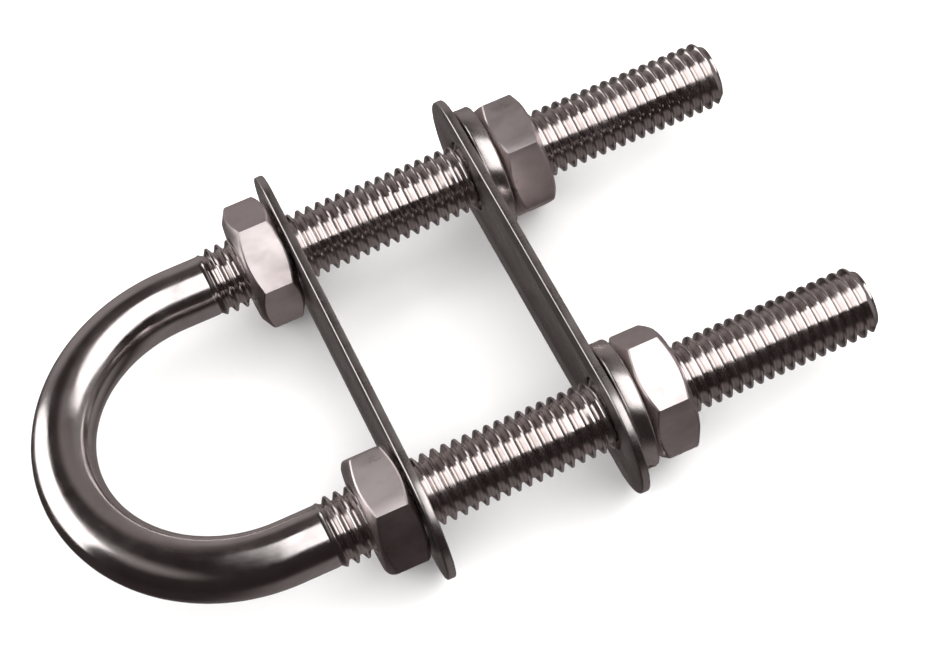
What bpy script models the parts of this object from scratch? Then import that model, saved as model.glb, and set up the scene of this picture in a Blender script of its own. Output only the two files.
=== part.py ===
"""U-bolt pad eye for a boat: a threaded U rod, a deck plate, a backing plate, hex nuts and lock washers.

It lies on its two plates, as on a bench. +X runs along the legs from the loop to their tips, +Y points
to the left leg, +Z is up, and the origin is the middle of its footprint. Sizes are in metres.
"""
import math

import bmesh
import bpy
from mathutils import Vector

MM = 0.001

# Driving dimensions
OVERALL_LENGTH = 90.0 * MM  # outside of the loop's crown to the leg tips
LEG_SPACING = 37.0 * MM  # between the two leg axes
SHANK_DIAMETER = 7.1 * MM  # plain rod, rolled thread blank
THREAD_DIAMETER = 8.0 * MM  # M8, outside diameter
THREAD_LENGTH = 64.0 * MM  # from the tip back towards the loop
TIP_CHAMFER = 0.9 * MM
RUN_OUT = 1.5 * MM  # cone between the plain rod and the full thread

PLATE_THICKNESS = 1.0 * MM
PLATE_WIDTH = 15.0 * MM  # as wide as a nut is across its corners
PLATE_LENGTH = 56.5 * MM
PLATE_EDGE = 0.2 * MM  # broken edge round the rim
DECK_PLATE_AT = 14.4 * MM  # plate's middle plane, measured from the loop's centre
BACKING_PLATE_AT = 36.9 * MM

NUT_ACROSS_FLATS = 13.0 * MM
NUT_THICKNESS = 5.2 * MM
NUT_FACE_RADIUS = 5.9 * MM  # flat ring left by the chamfer at each end
NUT_CHAMFER_SLOPE = math.tan(math.radians(30))
NUT_COUNTERSINK = 0.35 * MM

WASHER_RADIUS = 7.4 * MM
WASHER_THICKNESS = 2.0 * MM
WASHER_SPLIT = math.radians(9)  # opening of the cut
WASHER_SLANT = math.radians(14)  # how far the slanting cut leans over the thickness

LEG_CLEARANCE = 0.3 * MM  # round each leg, in every hole
SEAT_GAP = 0.25 * MM  # between faces that touch

# Where each piece happened to stop when it was tightened: its turn about the leg, from +Y towards +Z
LOOP_NUT_TURN = {"left": math.radians(4.8), "right": math.radians(34.8)}
END_NUT_TURN = {"left": math.radians(34.8), "right": math.radians(48.8)}
WASHER_TURN = {"left": math.radians(250), "right": math.radians(200)}

ROD_SIDES = 32
LOOP_STEPS = 36
RIM_STEPS = 24  # segments in each round end of a plate
HOLE_SIDES = 48
NUT_SIDES = 72  # a multiple of six, so that every corner has a vertex
WASHER_STEPS = 48

# Worked out from the driving dimensions
LOOP_RADIUS = LEG_SPACING / 2
MID_HEIGHT = PLATE_WIDTH / 2
TIP_X = OVERALL_LENGTH / 2
LOOP_CENTRE_X = -OVERALL_LENGTH / 2 + SHANK_DIAMETER / 2 + LOOP_RADIUS
THREAD_START_X = TIP_X - THREAD_LENGTH
BORE_RADIUS = THREAD_DIAMETER / 2 + LEG_CLEARANCE
LEG_SIDE = {"left": 1, "right": -1}
LOOP_NUT_OFFSET = -(PLATE_THICKNESS / 2 + SEAT_GAP + NUT_THICKNESS / 2)
WASHER_OFFSET = PLATE_THICKNESS / 2 + SEAT_GAP + WASHER_THICKNESS / 2
END_NUT_OFFSET = WASHER_OFFSET + WASHER_THICKNESS / 2 + SEAT_GAP + NUT_THICKNESS / 2


def clear_scene():
    for item in list(bpy.data.objects):
        bpy.data.objects.remove(item, do_unlink=True)


def polished_stainless(name, colour, roughness):
    material = bpy.data.materials.new(name)
    material.use_nodes = True
    shader = material.node_tree.nodes["Principled BSDF"]
    shader.inputs["Base Color"].default_value = (*colour, 1.0)
    shader.inputs["Metallic"].default_value = 1.0
    shader.inputs["Roughness"].default_value = roughness
    return material


def add_object(name, bm, material, location, parent=None, sharp_angle=30):
    """Turn a bmesh into a named object at a location, given from its parent if it has one."""
    bmesh.ops.recalc_face_normals(bm, faces=bm.faces)
    mesh = bpy.data.meshes.new(name)
    bm.to_mesh(mesh)
    bm.free()
    mesh.materials.append(material)
    mesh.shade_smooth()
    mesh.set_sharp_from_angle(angle=math.radians(sharp_angle))
    item = bpy.data.objects.new(name, mesh)
    bpy.context.collection.objects.link(item)
    item.location = location
    item.parent = parent
    return item


def bridge_rings(bm, rings, closed):
    """Join neighbouring rings of vertices with quads, and the last to the first if closed."""
    pairs = list(zip(rings, rings[1:]))
    if closed:
        pairs.append((rings[-1], rings[0]))
    for first, second in pairs:
        count = len(first)
        for k in range(count):
            following = (k + 1) % count
            bm.faces.new((first[k], first[following], second[following], second[k]))


def rod_sections():
    """The rod's centre line as (point, direction, radius), from the left tip round to the right tip."""
    shank = SHANK_DIAMETER / 2
    thread = THREAD_DIAMETER / 2
    leg = [
        (TIP_X, thread - TIP_CHAMFER * 0.8),
        (TIP_X - TIP_CHAMFER, thread),
        (THREAD_START_X + RUN_OUT, thread),
        (THREAD_START_X, shank),
    ]
    left = [(Vector((x, LOOP_RADIUS, 0)), Vector((-1, 0, 0)), radius) for x, radius in leg]
    right = [(Vector((x, -LOOP_RADIUS, 0)), Vector((1, 0, 0)), radius) for x, radius in reversed(leg)]
    loop = []
    for step in range(LOOP_STEPS + 1):
        angle = math.pi / 2 + math.pi * step / LOOP_STEPS
        outward = Vector((math.cos(angle), math.sin(angle), 0))
        point = Vector((LOOP_CENTRE_X, 0, 0)) + outward * LOOP_RADIUS
        loop.append((point, Vector((-outward.y, outward.x, 0)), shank))
    return left + loop + right


def build_u_bolt():
    bm = bmesh.new()
    up = Vector((0, 0, 1))
    rings = []
    for point, direction, radius in rod_sections():
        across = up.cross(direction)
        ring = []
        for k in range(ROD_SIDES):
            angle = 2 * math.pi * k / ROD_SIDES
            ring.append(bm.verts.new(point + radius * (math.cos(angle) * across + math.sin(angle) * up)))
        rings.append(ring)
    bridge_rings(bm, rings, closed=False)
    bm.faces.new(rings[0])
    bm.faces.new(rings[-1])
    material = polished_stainless("u_bolt_steel", (0.66, 0.64, 0.64), 0.14)
    return add_object("u_bolt", bm, material, (0, 0, MID_HEIGHT))


def plate_outline():
    """A slot shape in the YZ plane: straight edges with a full round at each end."""
    points = []
    radius = PLATE_WIDTH / 2
    for side, start in ((1, -math.pi / 2), (-1, math.pi / 2)):
        for step in range(RIM_STEPS + 1):
            angle = start + math.pi * step / RIM_STEPS
            y = side * (PLATE_LENGTH / 2 - radius) + radius * math.cos(angle)
            points.append((y, radius * math.sin(angle)))
    return points


def hole_cutter(name, plate):
    """Two cylinders along X, one on each leg axis, that cut the plate's holes."""
    bm = bmesh.new()
    half = PLATE_THICKNESS
    for side in LEG_SIDE.values():
        rings = []
        for x in (-half, half):
            ring = []
            for k in range(HOLE_SIDES):
                angle = 2 * math.pi * k / HOLE_SIDES
                y = side * LEG_SPACING / 2 + BORE_RADIUS * math.cos(angle)
                ring.append(bm.verts.new((x, y, BORE_RADIUS * math.sin(angle))))
            rings.append(ring)
        bridge_rings(bm, rings, closed=False)
        bm.faces.new(rings[0])
        bm.faces.new(rings[1])
    cutter = add_object(name, bm, plate.data.materials[0], (0, 0, 0), plate)
    cutter.hide_render = True
    cutter.display_type = "WIRE"
    return cutter


def build_plate(name, centre_x, colour):
    bm = bmesh.new()
    rings = []
    for x in (-PLATE_THICKNESS / 2, PLATE_THICKNESS / 2):
        rings.append([bm.verts.new((x, y, z)) for y, z in plate_outline()])
    bridge_rings(bm, rings, closed=False)
    bm.faces.new(rings[0])
    bm.faces.new(rings[1])
    material = polished_stainless(name + "_steel", colour, 0.22)
    plate = add_object(name, bm, material, (centre_x, 0, MID_HEIGHT))
    edge = plate.modifiers.new("broken_edge", "BEVEL")
    edge.width = PLATE_EDGE
    edge.segments = 2
    edge.limit_method = "ANGLE"
    edge.angle_limit = math.radians(45)
    holes = plate.modifiers.new("leg_holes", "BOOLEAN")
    holes.operation = "DIFFERENCE"
    holes.solver = "EXACT"
    holes.object = hole_cutter(name + "_hole_cutter", plate)
    return plate


def hex_radius(angle):
    """Distance from a hexagon's centre to its side; a flat's middle is at angle zero."""
    sixth = math.pi / 3
    from_flat = (angle + sixth / 2) % sixth - sixth / 2
    return NUT_ACROSS_FLATS / 2 / math.cos(from_flat)


def nut_profile(angle):
    """(x, radius) round one half-section of the nut, from the bore at one end to the bore at the other."""
    half = NUT_THICKNESS / 2
    outside = hex_radius(angle)
    chamfer = (outside - NUT_FACE_RADIUS) * NUT_CHAMFER_SLOPE
    return [
        (-half + NUT_COUNTERSINK, BORE_RADIUS),
        (-half, BORE_RADIUS + NUT_COUNTERSINK),
        (-half, NUT_FACE_RADIUS),
        (-half + chamfer, outside),
        (half - chamfer, outside),
        (half, NUT_FACE_RADIUS),
        (half, BORE_RADIUS + NUT_COUNTERSINK),
        (half - NUT_COUNTERSINK, BORE_RADIUS),
    ]


def build_nut(name, plate, side, offset, turn, colour):
    bm = bmesh.new()
    sections = []
    for k in range(NUT_SIDES):
        angle = 2 * math.pi * k / NUT_SIDES
        section = []
        for x, radius in nut_profile(angle):
            place = (x, radius * math.cos(angle + turn), radius * math.sin(angle + turn))
            section.append(bm.verts.new(place))
        sections.append(section)
    bridge_rings(bm, sections, closed=True)
    material = polished_stainless(name + "_steel", colour, 0.18)
    return add_object(name, bm, material, (offset, side * LEG_SPACING / 2, 0), plate, sharp_angle=20)


def build_lock_washer(name, plate, side, turn):
    """A ring of square section, cut through at a slant."""
    bm = bmesh.new()
    half = WASHER_THICKNESS / 2
    corners = [(-half, BORE_RADIUS), (-half, WASHER_RADIUS), (half, WASHER_RADIUS), (half, BORE_RADIUS)]
    sections = []
    for step in range(WASHER_STEPS + 1):
        angle = turn + WASHER_SPLIT / 2 + (2 * math.pi - WASHER_SPLIT) * step / WASHER_STEPS
        section = []
        for x, radius in corners:
            leaning = angle + WASHER_SLANT * x / WASHER_THICKNESS
            section.append(bm.verts.new((x, radius * math.cos(leaning), radius * math.sin(leaning))))
        sections.append(section)
    bridge_rings(bm, sections, closed=False)
    bm.faces.new(sections[0])
    bm.faces.new(sections[-1])
    material = polished_stainless(name + "_steel", (0.70, 0.68, 0.67), 0.26)
    return add_object(name, bm, material, (WASHER_OFFSET, side * LEG_SPACING / 2, 0), plate)


def build_pad_eye():
    clear_scene()
    build_u_bolt()
    deck_plate = build_plate("deck_plate", LOOP_CENTRE_X + DECK_PLATE_AT, (0.60, 0.58, 0.58))
    backing_plate = build_plate("backing_plate", LOOP_CENTRE_X + BACKING_PLATE_AT, (0.58, 0.56, 0.56))
    for hand, side in LEG_SIDE.items():
        loop_colour = (0.68, 0.65, 0.65)
        end_colour = (0.66, 0.63, 0.63)
        build_nut("loop_nut_" + hand, deck_plate, side, LOOP_NUT_OFFSET, LOOP_NUT_TURN[hand], loop_colour)
        build_nut("end_nut_" + hand, backing_plate, side, END_NUT_OFFSET, END_NUT_TURN[hand], end_colour)
        build_lock_washer("lock_washer_" + hand, backing_plate, side, WASHER_TURN[hand])


build_pad_eye()
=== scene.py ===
"""Looks of a U-bolt pad eye: helical threads, turned nuts, stamped plates and split washers in bright
stainless steel, on a pale sweep under soft studio light.

Sizes are in metres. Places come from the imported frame: +X runs along the legs to their tips, +Y to the
left leg and +Z up from the floor.
"""
import math

import bmesh
import bpy
from mathutils import Matrix, Vector


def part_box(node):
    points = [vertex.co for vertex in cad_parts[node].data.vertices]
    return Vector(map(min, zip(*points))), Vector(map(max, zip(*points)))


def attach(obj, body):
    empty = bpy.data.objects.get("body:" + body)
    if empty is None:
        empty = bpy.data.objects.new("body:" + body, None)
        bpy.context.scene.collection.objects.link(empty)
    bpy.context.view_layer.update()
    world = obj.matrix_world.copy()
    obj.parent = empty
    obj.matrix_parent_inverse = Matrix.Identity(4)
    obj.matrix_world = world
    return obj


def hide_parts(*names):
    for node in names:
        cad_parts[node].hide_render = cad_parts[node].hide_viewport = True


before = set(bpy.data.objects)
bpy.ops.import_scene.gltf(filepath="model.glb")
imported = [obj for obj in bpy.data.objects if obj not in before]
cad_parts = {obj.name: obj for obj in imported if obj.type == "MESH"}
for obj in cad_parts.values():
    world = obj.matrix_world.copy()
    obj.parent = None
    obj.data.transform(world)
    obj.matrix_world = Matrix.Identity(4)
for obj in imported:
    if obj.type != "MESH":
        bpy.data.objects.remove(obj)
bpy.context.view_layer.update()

MM = 0.001

# Metric coarse thread, right-handed on both legs and in every nut. The nut's thread has the rod's shape,
# 0.12 mm further out.
PITCH = 1.25 * MM
THREAD_LENGTH = 64.0 * MM
ROD_CREST = 3.98 * MM
ROD_ROOT = 3.25 * MM
THREAD_PLAY = 0.12 * MM
NUT_ROOT = ROD_CREST + THREAD_PLAY
NUT_CREST = ROD_ROOT + THREAD_PLAY
TURN_STEPS = 48  # points round the rod and in one turn of thread
# One pitch of the thread: how far along the pitch, and how far up from root (0) to crest (1)
THREAD_SHAPE = [
    (0.00, 1.0), (0.09, 0.985), (0.125, 0.91), (0.375, 0.09), (0.415, 0.015),
    (0.50, 0.0), (0.585, 0.015), (0.625, 0.09), (0.875, 0.91), (0.91, 0.985),
]

SHANK_RADIUS = 3.55 * MM
SHANK_JOIN = 0.6 * MM  # gap between the loop's sweep and the thread, bridged by one band of faces
LOOP_STEPS = 72
RUN_OUT = 1.6 * MM  # length over which the thread fades into the shank
TIP_RADIUS = 3.15 * MM
TIP_SLOPE = 0.95  # the tip's chamfer: growth of the radius over length
RING_SPACING = 0.22 * MM  # between the turned rings on nut faces and leg tips

NUT_FLAT_RADIUS = 6.5 * MM  # half of the 13 mm across flats
NUT_CORNER_RADIUS = 0.35 * MM
NUT_FACE_RADIUS = 5.95 * MM
NUT_FACE_EDGE = 0.12 * MM
NUT_CHAMFER_SLOPE = math.tan(math.radians(30))
NUT_COUNTERSINK_RADIUS = 4.35 * MM
NUT_COUNTERSINK_SLOPE = 1.2
NUT_STEPS_PER_FLAT = 20
NUT_CORNER_CROWDING = 0.12  # how much closer together the steps are at the corners
# How far each nut happens to be turned about its leg, from +Y towards +Z
NUT_TURN = {
    "loop_nut_left": math.radians(4.8),
    "loop_nut_right": math.radians(34.8),
    "end_nut_left": math.radians(34.8),
    "end_nut_right": math.radians(48.8),
}

PLATE_EDGE = 0.2 * MM
PLATE_HOLE_RADIUS = 4.3 * MM

WASHER_INNER = 4.15 * MM
WASHER_OUTER = 7.4 * MM
WASHER_EDGE = 0.28 * MM
WASHER_SPLIT = math.radians(9)
WASHER_SLANT = math.radians(14)
WASHER_STEPS = 120
# Where each washer's split happens to be
WASHER_TURN = {"lock_washer_left": math.radians(250), "lock_washer_right": math.radians(200)}

# Studio, in metres. A softbox is its place, the way it faces, its width and height, and its brightness.
SOFTBOXES = {
    "overhead_softbox": ((0.50, -0.22, 0.60), (0.0, 0.0, -1.0), (1.04, 0.76), 1.6),
    "side_softbox": ((-0.60, 0.36, 0.19), (0.80, -0.50, -0.14), (0.70, 0.72), 1.5),
}
SOFTBOX_COLOUR = (1.0, 0.972, 0.962)

# A ring of lights that whitens the paper and doesn't show in the steel
PAPER_LIGHTS = 6
PAPER_LIGHT_DISTANCE = 0.85
PAPER_LIGHT_HEIGHT = 0.80
PAPER_LIGHT_SIZE = 0.80
PAPER_LIGHT_BRIGHTNESS = 2.9
PAPER_LIGHT_COLOUR = (1.0, 1.0, 1.0)

# What the steel reflects beside the softboxes. Each patch of the room has a colour, and ramps along the
# parts of the direction: (axis, from, to, share at from, share at to). Its shares are multiplied.
ROOM_NEAR_COLOUR = (0.022, 0.016, 0.016)
ROOM_PATCHES = {
    "far_right": ((0.175, 0.15, 0.146), [("Y", -0.3, 0.75, 0.0, 1.0), ("X", -0.06, 0.32, 0.06, 1.0)]),
    "left_raised": ((0.22, 0.20, 0.195), [("X", -0.45, -0.75, 0.0, 1.0), ("Z", 0.3, 0.7, 0.0, 1.0)]),
    "far_wall": ((0.24, 0.215, 0.21), [("Y", 0.78, 0.97, 0.0, 1.0)]),
    "right_wall": ((0.21, 0.19, 0.187), [("X", 0.6, 0.95, 0.0, 1.0)]),
    "floor": (
        (0.17, 0.15, 0.147),
        [("Z", -0.3, -0.65, 0.0, 1.0), ("X", -0.5, 0.1, 0.04, 1.0), ("X", 0.3, 0.65, 1.0, 0.1)],
    ),
}

SWEEP_FLOOR_RADIUS = 1.5
SWEEP_BEND_RADIUS = 1.0
SWEEP_INNER_RADII = (0.35, 0.9)  # rings of points on the flat floor
SWEEP_WALL_TOP = (2.5, 2.2)  # (radius, height) where the wall ends
SWEEP_CEILING = (1.2, 2.9)
SWEEP_BEND_STEPS = 12
SWEEP_STEPS = 96

# Camera, aimed at a point on the level of the leg axes
CAMERA_AZIMUTH = math.radians(-13.4)
CAMERA_ELEVATION = math.radians(54.5)
CAMERA_ROLL = math.radians(12.5)
CAMERA_DISTANCE = 275.5 * MM
CAMERA_LENS_MM = 94.6
CAMERA_SENSOR_MM = 36.0
CAMERA_CLIP_START = 10 * MM
CAMERA_TARGET_X = 5.6 * MM
CAMERA_TARGET_Y = -2.3 * MM


def box_centre(node):
    low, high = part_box(node)
    return (low + high) / 2


LEG_AXIS = {hand: box_centre("loop_nut_" + hand) for hand in ("left", "right")}
AXIS_Z = LEG_AXIS["left"].z
LOOP_RADIUS = LEG_AXIS["left"].y
CROWN_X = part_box("u_bolt")[0].x
TIP_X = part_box("u_bolt")[1].x
LOOP_X = CROWN_X + SHANK_RADIUS + LOOP_RADIUS
THREAD_START = TIP_X - THREAD_LENGTH


# ---------------------------------------------------------------- mesh helpers

def finish_piece(name, bm, material, body, node, location=(0, 0, 0), sharp_angle=34):
    """Make a named piece from a bmesh, hide the CAD node that it stands for and let it ride on its body."""
    bmesh.ops.recalc_face_normals(bm, faces=bm.faces)
    mesh = bpy.data.meshes.new(name)
    bm.to_mesh(mesh)
    bm.free()
    mesh.materials.append(material)
    mesh.shade_smooth()
    mesh.set_sharp_from_angle(angle=math.radians(sharp_angle))
    piece = bpy.data.objects.new(name, mesh)
    bpy.context.scene.collection.objects.link(piece)
    piece.location = location
    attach(piece, body)
    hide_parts(node)


def bridge_rings(bm, rings, closed_rings=True, closed_path=False):
    """Join neighbouring rings of vertices with quads."""
    pairs = list(zip(rings, rings[1:]))
    if closed_path:
        pairs.append((rings[-1], rings[0]))
    for first, second in pairs:
        last = len(first) if closed_rings else len(first) - 1
        for k in range(last):
            following = (k + 1) % len(first)
            bm.faces.new((first[k], first[following], second[following], second[k]))


def edges_at(bm, x, centre, tolerance=1e-7):
    """Open edges in the plane at x, on the tube round centre."""
    found = []
    for edge in bm.edges:
        ends = [vertex.co for vertex in edge.verts]
        in_plane = all(abs(co.x - x) < tolerance for co in ends)
        if edge.is_boundary and in_plane and all(abs(co.y - centre.y) < 2 * ROD_CREST for co in ends):
            found.append(edge)
    return found


def helix_rows(bm, centre, turns, radius_at):
    """Rows of vertices round the line along X through centre, one row per point of the thread's shape."""
    rows = []
    for turn in turns:
        for along, height in THREAD_SHAPE:
            row = []
            for step in range(TURN_STEPS):
                share = step / TURN_STEPS
                x = PITCH * (turn + along + share)
                radius = radius_at(x, height)
                angle = 2 * math.pi * share
                place = (x, centre.y + radius * math.cos(angle), centre.z + radius * math.sin(angle))
                row.append(bm.verts.new(place))
            rows.append(row)
    return rows


def helix_faces(bm, rows):
    """Quads between neighbouring rows; each row's end joins the start of the row one turn further on."""
    shape_steps = len(THREAD_SHAPE)
    faces = []
    for index in range(len(rows) - 1 - shape_steps):
        lower = rows[index]
        upper = rows[index + 1]
        for step in range(TURN_STEPS - 1):
            faces.append(bm.faces.new((lower[step], lower[step + 1], upper[step + 1], upper[step])))
        lower_start = rows[index + shape_steps][0]
        upper_start = rows[index + shape_steps + 1][0]
        faces.append(bm.faces.new((lower[-1], lower_start, upper_start, upper[-1])))
    return faces


def cut_square(bm, faces, x, outward):
    """Cut the faces in the plane at x, drop what lies on its outward side and return the faces left."""
    edges = {edge for face in faces for edge in face.edges}
    vertices = {vertex for edge in edges for vertex in edge.verts}
    result = bmesh.ops.bisect_plane(
        bm,
        geom=[*vertices, *edges, *faces],
        plane_co=(x, 0, 0),
        plane_no=(outward, 0, 0),
        clear_outer=True,
    )
    return [item for item in result["geom"] if isinstance(item, bmesh.types.BMFace) and item.is_valid]


def helix_tube(bm, centre, low_x, high_x, radius_at):
    """A screw surface round the line along X through centre, cut square at low_x and high_x.

    radius_at(x, height) gives the radius where the thread stands at that height between root and crest.
    The crest line passes angle zero at whole pitches from x = 0, so rods and nuts stay in mesh.
    """
    spare_turns = 2
    turns = range(math.floor(low_x / PITCH) - spare_turns, math.ceil(high_x / PITCH) + spare_turns)
    faces = helix_faces(bm, helix_rows(bm, centre, turns, radius_at))
    faces = cut_square(bm, faces, low_x, -1)
    cut_square(bm, faces, high_x, 1)
    stray = [vertex for vertex in bm.verts if not vertex.link_faces]
    bmesh.ops.delete(bm, geom=stray, context="VERTS")


def smooth_step(value):
    value = min(max(value, 0.0), 1.0)
    return value * value * (3 - 2 * value)


# ---------------------------------------------------------------- shader helpers

def new_material(name):
    material = bpy.data.materials.new(name)
    material.use_nodes = True
    tree = material.node_tree
    return material, tree, tree.nodes["Principled BSDF"]


def link(tree, output, target):
    tree.links.new(output, target)


def math_node(tree, operation, first, second=None):
    """The result of an operation on one or two inputs, each a number or a socket."""
    node = tree.nodes.new("ShaderNodeMath")
    node.operation = operation
    for socket, value in zip(node.inputs, (first, second)):
        if isinstance(value, (int, float)):
            socket.default_value = value
        elif value is not None:
            link(tree, value, socket)
    return node.outputs[0]


def map_range(tree, value, low, high, new_low, new_high):
    """Turn low..high of a value smoothly into new_low..new_high, and keep it there beyond them."""
    node = tree.nodes.new("ShaderNodeMapRange")
    node.interpolation_type = "SMOOTHSTEP"
    link(tree, value, node.inputs["Value"])
    node.inputs["From Min"].default_value = low
    node.inputs["From Max"].default_value = high
    node.inputs["To Min"].default_value = new_low
    node.inputs["To Max"].default_value = new_high
    return node.outputs["Result"]


def noise(tree, place, per_mm, detail=3.0, roughness=0.6):
    """Noise with a feature count per millimetre along each axis."""
    mapping = tree.nodes.new("ShaderNodeMapping")
    mapping.inputs["Scale"].default_value = [count / MM for count in per_mm]
    link(tree, place, mapping.inputs["Vector"])
    texture = tree.nodes.new("ShaderNodeTexNoise")
    texture.inputs["Scale"].default_value = 1.0
    texture.inputs["Detail"].default_value = detail
    texture.inputs["Roughness"].default_value = roughness
    link(tree, mapping.outputs["Vector"], texture.inputs["Vector"])
    return texture.outputs["Fac"]


def bump(tree, height, distance, strength=1.0, below=None):
    """A bump of the given depth in metres, laid over the normal below if there is one."""
    node = tree.nodes.new("ShaderNodeBump")
    node.inputs["Strength"].default_value = strength
    node.inputs["Distance"].default_value = distance
    link(tree, height, node.inputs["Height"])
    if below is not None:
        link(tree, below, node.inputs["Normal"])
    return node.outputs["Normal"]


def mix_colour(tree, factor, first, second):
    """From first to second as the factor goes from 0 to 1. Each is a colour or a socket."""
    node = tree.nodes.new("ShaderNodeMix")
    node.data_type = "RGBA"
    link(tree, factor, node.inputs["Factor"])
    for socket, value in ((node.inputs["A"], first), (node.inputs["B"], second)):
        if isinstance(value, tuple):
            socket.default_value = (*value, 1.0)
        else:
            link(tree, value, socket)
    return node.outputs["Result"]


def object_place(tree):
    return tree.nodes.new("ShaderNodeTexCoord").outputs["Object"]


def facing_along_x(tree):
    """1 where the surface faces either way along X, 0 where it is side-on."""
    parts = tree.nodes.new("ShaderNodeSeparateXYZ")
    link(tree, tree.nodes.new("ShaderNodeTexCoord").outputs["Normal"], parts.inputs[0])
    return math_node(tree, "ABSOLUTE", parts.outputs["X"])


def stored_place(tree, attribute):
    node = tree.nodes.new("ShaderNodeAttribute")
    node.attribute_name = attribute
    return node.outputs["Vector"]


def distance_from_x_axis(tree, place):
    """How far the place is from the line along X through its origin."""
    parts = tree.nodes.new("ShaderNodeSeparateXYZ")
    link(tree, place, parts.inputs[0])
    squares = [math_node(tree, "POWER", parts.outputs[axis], 2.0) for axis in ("Y", "Z")]
    return math_node(tree, "SQRT", math_node(tree, "ADD", *squares))


def add_bump(tree, shader, height, distance, strength):
    """Lay one more bump over the shader's present normal."""
    before = shader.inputs["Normal"].links[0].from_socket
    link(tree, bump(tree, height, distance, strength, before), shader.inputs["Normal"])


def steel(name, tint, soiled_tint, place_of, lines_per_mm, line_depth, roughness):
    """Bright stainless steel: drawn or brushed lines, blotchy polish and a soiled tint.

    place_of(tree) gives the place that the noise is laid out on. roughness is its lowest and highest value.
    """
    material, tree, shader = new_material(name)
    place = place_of(tree)
    lines = noise(tree, place, lines_per_mm, detail=4.0, roughness=0.7)
    blotches = noise(tree, place, (0.22, 0.3, 0.3))
    waves = noise(tree, place, (0.35, 0.5, 0.5), detail=1.0)
    clouds = noise(tree, place, (0.3, 0.4, 0.4), detail=2.0)
    soiling = map_range(tree, clouds, 0.40, 0.75, 0.0, 1.0)
    link(tree, mix_colour(tree, soiling, tint, soiled_tint), shader.inputs["Base Color"])
    uneven = math_node(tree, "ADD", math_node(tree, "MULTIPLY", lines, 0.45), blotches)
    low, high = roughness
    link(tree, map_range(tree, uneven, 0.45, 1.0, low, high), shader.inputs["Roughness"])
    normal = bump(tree, waves, 0.02 * MM, 0.5)
    normal = bump(tree, lines, line_depth, 1.0, normal)
    link(tree, normal, shader.inputs["Normal"])
    shader.inputs["Metallic"].default_value = 1.0
    return material, tree, shader


def add_turned_rings(tree, shader, radius, factor):
    """Fine rings round the axis, as a lathe tool leaves them, where the factor is high."""
    rings = math_node(tree, "SINE", math_node(tree, "MULTIPLY", radius, 2 * math.pi / RING_SPACING))
    add_bump(tree, shader, math_node(tree, "MULTIPLY", rings, factor), 0.003 * MM, 0.7)


def mix_in_colour(tree, shader, factor, colour):
    """Mix the shader's present colour towards another where the factor is high."""
    present = shader.inputs["Base Color"].links[0].from_socket
    link(tree, mix_colour(tree, factor, present, colour), shader.inputs["Base Color"])


def rod_steel():
    """Drawn rod: lines run along it, painted shade darkens the thread's roots and the tips show turned
    rings.
    """
    material, tree, shader = steel(
        "rod_steel",
        tint=(0.86, 0.82, 0.815),
        soiled_tint=(0.76, 0.71, 0.70),
        place_of=lambda tree: stored_place(tree, "rod_place"),
        lines_per_mm=(0.12, 7.0, 7.0),
        line_depth=0.0016 * MM,
        roughness=(0.10, 0.24),
    )
    place = stored_place(tree, "rod_place")
    radius = distance_from_x_axis(tree, place)
    # Painted shade: the thread's grooves get a darker tint towards their roots, where shade falls.
    root_painted_shade = map_range(tree, radius, ROD_ROOT, SHANK_RADIUS - 0.02 * MM, 1.0, 0.0)
    mix_in_colour(tree, shader, root_painted_shade, (0.70, 0.64, 0.62))
    parts = tree.nodes.new("ShaderNodeSeparateXYZ")
    link(tree, object_place(tree), parts.inputs[0])
    at_tip = map_range(tree, parts.outputs["X"], TIP_X - 0.2 * MM, TIP_X - 0.05 * MM, 0.0, 1.0)
    add_turned_rings(tree, shader, radius, at_tip)
    return material


def nut_steel():
    """Hex bar stock: drawn lines on the flats, turned rings on the end faces and painted shade in the bore.
    """
    material, tree, shader = steel(
        "nut_steel",
        tint=(0.92, 0.85, 0.845),
        soiled_tint=(0.82, 0.74, 0.735),
        place_of=object_place,
        lines_per_mm=(0.3, 5.0, 5.0),
        line_depth=0.0022 * MM,
        roughness=(0.26, 0.42),
    )
    on_face = map_range(tree, facing_along_x(tree), 0.8, 0.97, 0.0, 1.0)
    radius = distance_from_x_axis(tree, object_place(tree))
    add_turned_rings(tree, shader, radius, on_face)
    # Painted shade: the threaded bore and its countersink are tinted nearly black, as shade inside the
    # hole.
    bore_painted_shade = map_range(tree, radius, NUT_CREST, NUT_COUNTERSINK_RADIUS, 1.0, 0.0)
    mix_in_colour(tree, shader, bore_painted_shade, (0.22, 0.19, 0.18))
    return material


def plate_steel():
    """Rolled sheet, brushed along its length, with shear marks across the stamped rim."""
    material, tree, shader = steel(
        "plate_steel",
        tint=(0.69, 0.66, 0.65),
        soiled_tint=(0.60, 0.57, 0.56),
        place_of=object_place,
        lines_per_mm=(4.0, 0.12, 5.0),
        line_depth=0.0016 * MM,
        roughness=(0.24, 0.36),
    )
    on_rim = map_range(tree, facing_along_x(tree), 0.3, 0.7, 1.0, 0.0)
    shear = noise(tree, object_place(tree), (0.5, 6.0, 6.0))
    add_bump(tree, shader, math_node(tree, "MULTIPLY", shear, on_rim), 0.012 * MM, 0.6)
    return material


def washer_steel():
    """Spring steel wire, coiled and cut, with a slightly duller finish."""
    material, _, _ = steel(
        "washer_steel",
        tint=(0.82, 0.78, 0.77),
        soiled_tint=(0.68, 0.63, 0.61),
        place_of=lambda tree: stored_place(tree, "ring_place"),
        lines_per_mm=(5.0, 5.0, 0.25),
        line_depth=0.0025 * MM,
        roughness=(0.18, 0.34),
    )
    return material


# ---------------------------------------------------------------- pieces

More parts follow.
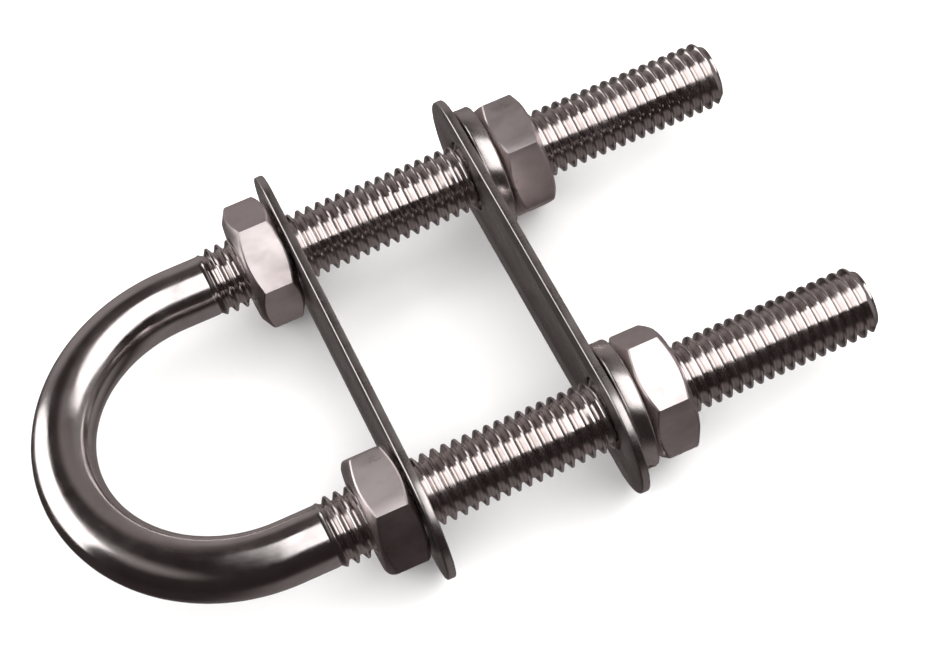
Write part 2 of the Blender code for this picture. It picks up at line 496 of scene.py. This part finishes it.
def rod_radius(x, height):
    """Radius of a leg: the thread, its fade into the shank and the chamfer at the tip."""
    thread = ROD_ROOT + height * (ROD_CREST - ROD_ROOT)
    cut = smooth_step((x - THREAD_START) / RUN_OUT)
    radius = SHANK_RADIUS + (thread - SHANK_RADIUS) * cut
    return min(radius, TIP_RADIUS + max(TIP_X - x, 0.0) * TIP_SLOPE)


def store_rod_place(bm):
    """Keep each vertex's place on the rod as if it were straight: along it, inwards and up."""
    layer = bm.verts.layers.float_vector.new("rod_place")
    for vertex in bm.verts:
        side = math.copysign(1.0, vertex.co.y)
        if vertex.co.x >= LOOP_X:
            along = (vertex.co.x - LOOP_X + math.pi / 2 * LOOP_RADIUS) * side
            inward = LOOP_RADIUS - abs(vertex.co.y)
        else:
            offset = Vector((vertex.co.x - LOOP_X, vertex.co.y))
            along = math.atan2(offset.y, -offset.x) * LOOP_RADIUS
            inward = LOOP_RADIUS - offset.length
        vertex[layer] = (along, inward, vertex.co.z - AXIS_Z)


def shank_path():
    """(point, way inwards) along the plain shank, from the left leg round the loop to the right leg."""
    shank_end = THREAD_START - SHANK_JOIN
    path = [(Vector((shank_end, LOOP_RADIUS, AXIS_Z)), Vector((0, -1, 0)))]
    for step in range(LOOP_STEPS + 1):
        angle = math.pi / 2 + math.pi * step / LOOP_STEPS
        outward = Vector((math.cos(angle), math.sin(angle), 0))
        path.append((Vector((LOOP_X, 0, AXIS_Z)) + outward * LOOP_RADIUS, -outward))
    path.append((Vector((shank_end, -LOOP_RADIUS, AXIS_Z)), Vector((0, 1, 0))))
    return path


def shank_rings(bm):
    """Rings of vertices round the shank's path."""
    up = Vector((0, 0, 1))
    rings = []
    for point, inward in shank_path():
        ring = []
        for step in range(TURN_STEPS):
            angle = 2 * math.pi * step / TURN_STEPS
            offset = inward * math.cos(angle) + up * math.sin(angle)
            ring.append(bm.verts.new(point + offset * SHANK_RADIUS))
        rings.append(ring)
    return rings


def build_rod(material):
    """The bent bar: two threaded legs with closed tips, and the shank that joins them round the loop."""
    bm = bmesh.new()
    for centre in LEG_AXIS.values():
        helix_tube(bm, centre, THREAD_START, TIP_X, rod_radius)
    for centre in LEG_AXIS.values():
        bmesh.ops.contextual_create(bm, geom=edges_at(bm, TIP_X, centre))
    rings = shank_rings(bm)
    bridge_rings(bm, rings)
    for ring, centre in ((rings[0], LEG_AXIS["left"]), (rings[-1], LEG_AXIS["right"])):
        ring_edges = [edge for edge in bm.edges if edge.is_boundary and all(v in ring for v in edge.verts)]
        bmesh.ops.bridge_loops(bm, edges=ring_edges + edges_at(bm, THREAD_START, centre))
    store_rod_place(bm)
    finish_piece("threaded_u_rod", bm, material, "u_bolt", "u_bolt")


def rounded_hex_radius(angle):
    """Distance from a hexagon's centre to its side, with rounded corners; a flat's middle is at zero."""
    sixth = math.pi / 3
    from_corner = angle % sixth - sixth / 2
    corner_centre = (NUT_FLAT_RADIUS - NUT_CORNER_RADIUS) / math.cos(sixth / 2)
    across = corner_centre * math.sin(abs(from_corner))
    flat = NUT_FLAT_RADIUS / math.cos(sixth / 2 - abs(from_corner))
    if across >= NUT_CORNER_RADIUS:
        return flat
    round_part = corner_centre * math.cos(from_corner) + math.sqrt(NUT_CORNER_RADIUS**2 - across**2)
    return min(flat, round_part)


def flat_angles():
    """Angles round a nut, closer together near the rounded corners."""
    sixth = math.pi / 3
    angles = []
    for flat in range(6):
        for step in range(NUT_STEPS_PER_FLAT):
            share = step / NUT_STEPS_PER_FLAT
            eased = share + math.sin(2 * math.pi * share) * NUT_CORNER_CROWDING
            angles.append(flat * sixth - sixth / 2 + eased * sixth)
    return angles


def nut_side_profile(angle, half):
    """(x, radius) of the outside from one face's ring, over both chamfers, to the other face's ring."""
    outside = rounded_hex_radius(angle)
    edge = NUT_FACE_EDGE
    slope = NUT_CHAMFER_SLOPE
    chamfer = (outside - NUT_FACE_RADIUS) * slope
    one_end = [
        (half, NUT_COUNTERSINK_RADIUS),
        (half, NUT_FACE_RADIUS - edge),
        (half - 0.3 * edge * slope, NUT_FACE_RADIUS + 0.3 * edge),
        (half - chamfer + edge * slope, outside - edge),
        (half - chamfer - edge, outside),
    ]
    return [(-x, radius) for x, radius in one_end] + [(x, radius) for x, radius in reversed(one_end)]


def build_nut(node, material):
    """A hex nut with a threaded bore. It is a body of its own, named as its node."""
    low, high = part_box(node)
    centre = (low + high) / 2
    half = (high.x - low.x) / 2
    turn = NUT_TURN[node]

    def bore_radius(x, height):
        thread = NUT_CREST + height * (NUT_ROOT - NUT_CREST)
        from_face = half - abs(x - centre.x)
        return max(thread, NUT_COUNTERSINK_RADIUS - max(from_face, 0.0) * NUT_COUNTERSINK_SLOPE)

    bm = bmesh.new()
    helix_tube(bm, centre, low.x, high.x, bore_radius)
    sections = []
    for angle in flat_angles():
        section = []
        for x, radius in nut_side_profile(angle, half):
            y = radius * math.cos(angle + turn)
            z = radius * math.sin(angle + turn)
            section.append(bm.verts.new(centre + Vector((x, y, z))))
        sections.append(section)
    bridge_rings(bm, sections, closed_rings=False, closed_path=True)
    for x in (low.x, high.x):
        bmesh.ops.bridge_loops(bm, edges=edges_at(bm, x, centre))
    bmesh.ops.translate(bm, verts=bm.verts, vec=-centre)
    finish_piece("threaded_" + node, bm, material, node, node, centre, sharp_angle=24)


def add_bezier(curve, points):
    """A closed spline through (point, left handle, right handle) triples."""
    spline = curve.splines.new("BEZIER")
    spline.bezier_points.add(len(points) - 1)
    for target, (point, left, right) in zip(spline.bezier_points, points):
        target.co = (*point, 0)
        target.handle_left = (*left, 0)
        target.handle_right = (*right, 0)
    spline.use_cyclic_u = True


def arc_points(centre_x, radius, start, quarters):
    """Bezier points of an arc of whole quarter turns, anticlockwise from the start angle."""
    pull = 4 / 3 * (math.sqrt(2) - 1)  # handle length over radius, for a round quarter turn
    points = []
    for k in range(quarters + 1):
        angle = start + k * math.pi / 2
        point = Vector((centre_x + radius * math.cos(angle), radius * math.sin(angle)))
        along = Vector((-math.sin(angle), math.cos(angle))) * radius * pull
        points.append([point, point - along, point + along])
    return points


def add_slot_outline(curve, straight, half_width):
    """A slot with full round ends, whose centres are straight away from the middle on both sides."""
    points = []
    for side, start in ((1, -math.pi / 2), (-1, math.pi / 2)):
        arc = arc_points(side * straight, half_width, start, 2)
        side_step = Vector((side * straight * 2 / 3, 0))
        arc[0][1] = arc[0][0] - side_step
        arc[-1][2] = arc[-1][0] - side_step
        points.extend(arc)
    add_bezier(curve, points)


def add_circle(curve, centre_x, radius):
    """A full circle, without the last point that repeats the first."""
    add_bezier(curve, arc_points(centre_x, radius, 0.0, 4)[:-1])


def plate_outline(node, straight, half_width, half_thickness, hole_places):
    """The plate's outline and holes as a flat curve that is extruded with rolled-over edges."""
    curve = bpy.data.curves.new(node + "_outline", "CURVE")
    curve.dimensions = "2D"
    curve.fill_mode = "BOTH"
    curve.resolution_u = 16
    curve.extrude = half_thickness - PLATE_EDGE
    curve.bevel_depth = PLATE_EDGE
    curve.offset = -PLATE_EDGE
    curve.bevel_resolution = 3
    add_slot_outline(curve, straight, half_width)
    for place in hole_places:
        add_circle(curve, place, PLATE_HOLE_RADIUS)
    return curve


def curve_to_bmesh(curve):
    """Turn the curve into a bmesh with its double points merged, and remove the curve's object."""
    holder = bpy.data.objects.new(curve.name, curve)
    bpy.context.scene.collection.objects.link(holder)
    bpy.context.view_layer.update()
    mesh = bpy.data.meshes.new_from_object(holder.evaluated_get(bpy.context.evaluated_depsgraph_get()))
    bpy.data.objects.remove(holder)
    bm = bmesh.new()
    bm.from_mesh(mesh)
    bpy.data.meshes.remove(mesh)
    bmesh.ops.remove_doubles(bm, verts=bm.verts, dist=0.001 * MM)
    return bm


def build_plate(node, material):
    """A stamped plate with two round holes. Its body has the node's name."""
    low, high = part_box(node)
    centre = (low + high) / 2
    half_width = (high.z - low.z) / 2
    half_thickness = (high.x - low.x) / 2
    straight = (high.y - low.y) / 2 - half_width
    hole_places = [axis.y - centre.y for axis in LEG_AXIS.values()]
    bm = curve_to_bmesh(plate_outline(node, straight, half_width, half_thickness, hole_places))
    stand_up = Matrix(((0, 0, 1), (1, 0, 0), (0, 1, 0))).to_4x4()
    bmesh.ops.transform(bm, matrix=stand_up, verts=bm.verts)
    finish_piece("stamped_" + node, bm, material, node, node, centre, sharp_angle=30)


def washer_section(half):
    """(x, radius) round the washer's rounded square section."""
    points = []
    middle = (WASHER_INNER + WASHER_OUTER) / 2
    half_width = (WASHER_OUTER - WASHER_INNER) / 2
    for quarter in range(4):
        corner = math.pi / 4 + quarter * math.pi / 2
        corner_x = math.copysign(half - WASHER_EDGE, math.cos(corner))
        corner_r = math.copysign(half_width - WASHER_EDGE, math.sin(corner))
        for step in range(4):
            angle = corner - math.pi / 4 + step * math.pi / 6
            x = corner_x + WASHER_EDGE * math.cos(angle)
            points.append((x, middle + corner_r + WASHER_EDGE * math.sin(angle)))
    return points


def build_lock_washer(node, material):
    """A split spring washer, centred on its end nut. It rides on the backing plate."""
    low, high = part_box(node)
    centre = box_centre(node.replace("lock_washer", "end_nut"))
    centre.x = (low.x + high.x) / 2
    half = (high.x - low.x) / 2
    start = WASHER_TURN[node] + WASHER_SPLIT / 2
    bm = bmesh.new()
    layer = bm.verts.layers.float_vector.new("ring_place")
    sections = []
    for step in range(WASHER_STEPS + 1):
        angle = start + (2 * math.pi - WASHER_SPLIT) * step / WASHER_STEPS
        section = []
        for x, radius in washer_section(half):
            leaning = angle + WASHER_SLANT * x / (2 * half)
            vertex = bm.verts.new((x, radius * math.cos(leaning), radius * math.sin(leaning)))
            vertex[layer] = (x, radius, angle * radius)
            section.append(vertex)
        sections.append(section)
    bridge_rings(bm, sections)
    bm.faces.new(sections[0])
    bm.faces.new(sections[-1])
    finish_piece("split_" + node, bm, material, "backing_plate", node, centre)


# ---------------------------------------------------------------- stage, lights and camera

def sweep_profile():
    """(radius, height) from the flat floor, round the bend and up the wall to the ceiling."""
    profile = [(radius, 0.0) for radius in SWEEP_INNER_RADII]
    for step in range(SWEEP_BEND_STEPS + 1):
        angle = math.pi / 2 * step / SWEEP_BEND_STEPS
        radius = SWEEP_FLOOR_RADIUS + SWEEP_BEND_RADIUS * math.sin(angle)
        profile.append((radius, SWEEP_BEND_RADIUS * (1 - math.cos(angle))))
    return profile + [SWEEP_WALL_TOP, SWEEP_CEILING]


def sweep_paper():
    """Matt white paper with faint cloudy grain and no gloss."""
    material, tree, shader = new_material("sweep_paper")
    grain = noise(tree, object_place(tree), (0.02, 0.02, 0.02), detail=2.0)
    colour = mix_colour(tree, grain, (0.90, 0.90, 0.895), (0.92, 0.92, 0.918))
    link(tree, colour, shader.inputs["Base Color"])
    shader.inputs["Roughness"].default_value = 0.9
    shader.inputs["Specular IOR Level"].default_value = 0.0
    return material


def build_sweep():
    """A pale studio sweep: a flat floor that curves up into walls far off on all sides, and a ceiling.

    The steel neither reflects it nor is lit by it, so that the room in the steel stays dim.
    """
    bm = bmesh.new()
    rings = []
    for radius, z in sweep_profile():
        ring = []
        for k in range(SWEEP_STEPS):
            angle = 2 * math.pi * k / SWEEP_STEPS
            ring.append(bm.verts.new((radius * math.cos(angle), radius * math.sin(angle), z)))
        rings.append(ring)
    bridge_rings(bm, rings)
    bm.faces.new(rings[0])
    bm.faces.new(rings[-1])
    bmesh.ops.recalc_face_normals(bm, faces=bm.faces)
    mesh = bpy.data.meshes.new("studio_sweep")
    bm.to_mesh(mesh)
    bm.free()
    mesh.shade_smooth()
    mesh.materials.append(sweep_paper())
    sweep = bpy.data.objects.new("studio_sweep", mesh)
    bpy.context.scene.collection.objects.link(sweep)
    sweep.visible_glossy = False
    sweep.visible_shadow = False
    sweep.visible_diffuse = False


def add_area_light(name, place, facing, size, brightness, colour, in_metal):
    """A soft rectangle of even brightness, facing the given way. in_metal says if the steel reflects it."""
    width, height = size
    data = bpy.data.lights.new(name, "AREA")
    data.shape = "RECTANGLE"
    data.size = width
    data.size_y = height
    data.energy = brightness * math.pi * width * height
    data.color = colour
    lamp = bpy.data.objects.new(name, data)
    bpy.context.scene.collection.objects.link(lamp)
    lamp.location = place
    lamp.rotation_euler = Vector(facing).to_track_quat("-Z", "Y").to_euler()
    lamp.visible_glossy = in_metal
    lamp.visible_camera = False


def build_lights():
    """The two softboxes that shape the steel, and the ring of lights for the paper."""
    for name, (place, facing, size, brightness) in SOFTBOXES.items():
        add_area_light(name, place, facing, size, brightness, SOFTBOX_COLOUR, in_metal=True)
    paper_light_size = (PAPER_LIGHT_SIZE, PAPER_LIGHT_SIZE)
    for k in range(PAPER_LIGHTS):
        angle = 2 * math.pi * k / PAPER_LIGHTS
        place = Vector((math.cos(angle), math.sin(angle), 0)) * PAPER_LIGHT_DISTANCE
        place.z = PAPER_LIGHT_HEIGHT
        add_area_light(
            f"paper_light_{k}",
            place,
            -place,
            paper_light_size,
            PAPER_LIGHT_BRIGHTNESS,
            PAPER_LIGHT_COLOUR,
            in_metal=False,
        )


def build_room():
    """What the steel reflects beside the two softboxes: a dim room with paler patches, by direction."""
    world = bpy.data.worlds.new("dim_room")
    bpy.context.scene.world = world
    world.use_nodes = True
    tree = world.node_tree
    parts = tree.nodes.new("ShaderNodeSeparateXYZ")
    link(tree, tree.nodes.new("ShaderNodeTexCoord").outputs["Generated"], parts.inputs[0])
    colour = ROOM_NEAR_COLOUR
    for patch_colour, ramps in ROOM_PATCHES.values():
        shares = [map_range(tree, parts.outputs[axis], *limits) for axis, *limits in ramps]
        share = shares[0]
        for factor in shares[1:]:
            share = math_node(tree, "MULTIPLY", share, factor)
        colour = mix_colour(tree, share, colour, patch_colour)
    background = tree.nodes["Background"]
    link(tree, colour, background.inputs["Color"])
    background.inputs["Strength"].default_value = 1.0


def build_camera():
    """The photograph's viewing angle: azimuth and elevation of the camera, and its roll."""
    data = bpy.data.cameras.new("camera")
    data.lens = CAMERA_LENS_MM
    data.sensor_width = CAMERA_SENSOR_MM
    data.clip_start = CAMERA_CLIP_START
    camera = bpy.data.objects.new("camera", data)
    bpy.context.scene.collection.objects.link(camera)
    level = math.cos(CAMERA_ELEVATION)
    back_x = math.sin(CAMERA_AZIMUTH) * level
    back_y = -math.cos(CAMERA_AZIMUTH) * level
    back = Vector((back_x, back_y, math.sin(CAMERA_ELEVATION)))
    level_right = Vector((0, 0, 1)).cross(back).normalized()
    level_up = back.cross(level_right)
    up = level_up * math.cos(CAMERA_ROLL) + level_right * math.sin(CAMERA_ROLL)
    right = up.cross(back)
    axes = Matrix((right, up, back)).transposed()
    target = Vector((CAMERA_TARGET_X, CAMERA_TARGET_Y, AXIS_Z))
    camera.matrix_world = Matrix.Translation(target + back * CAMERA_DISTANCE) @ axes.to_4x4()
    bpy.context.scene.camera = camera


def build_pad_eye():
    """All nine pieces. Nuts, plates and washers share one material each."""
    nut = nut_steel()
    plate = plate_steel()
    washer = washer_steel()
    build_rod(rod_steel())
    for node in ("deck_plate", "backing_plate"):
        build_plate(node, plate)
    for node in NUT_TURN:
        build_nut(node, nut)
    for node in WASHER_TURN:
        build_lock_washer(node, washer)


build_pad_eye()
build_sweep()
build_room()
build_lights()
build_camera()
bpy.context.scene.view_settings.view_transform = "Standard"
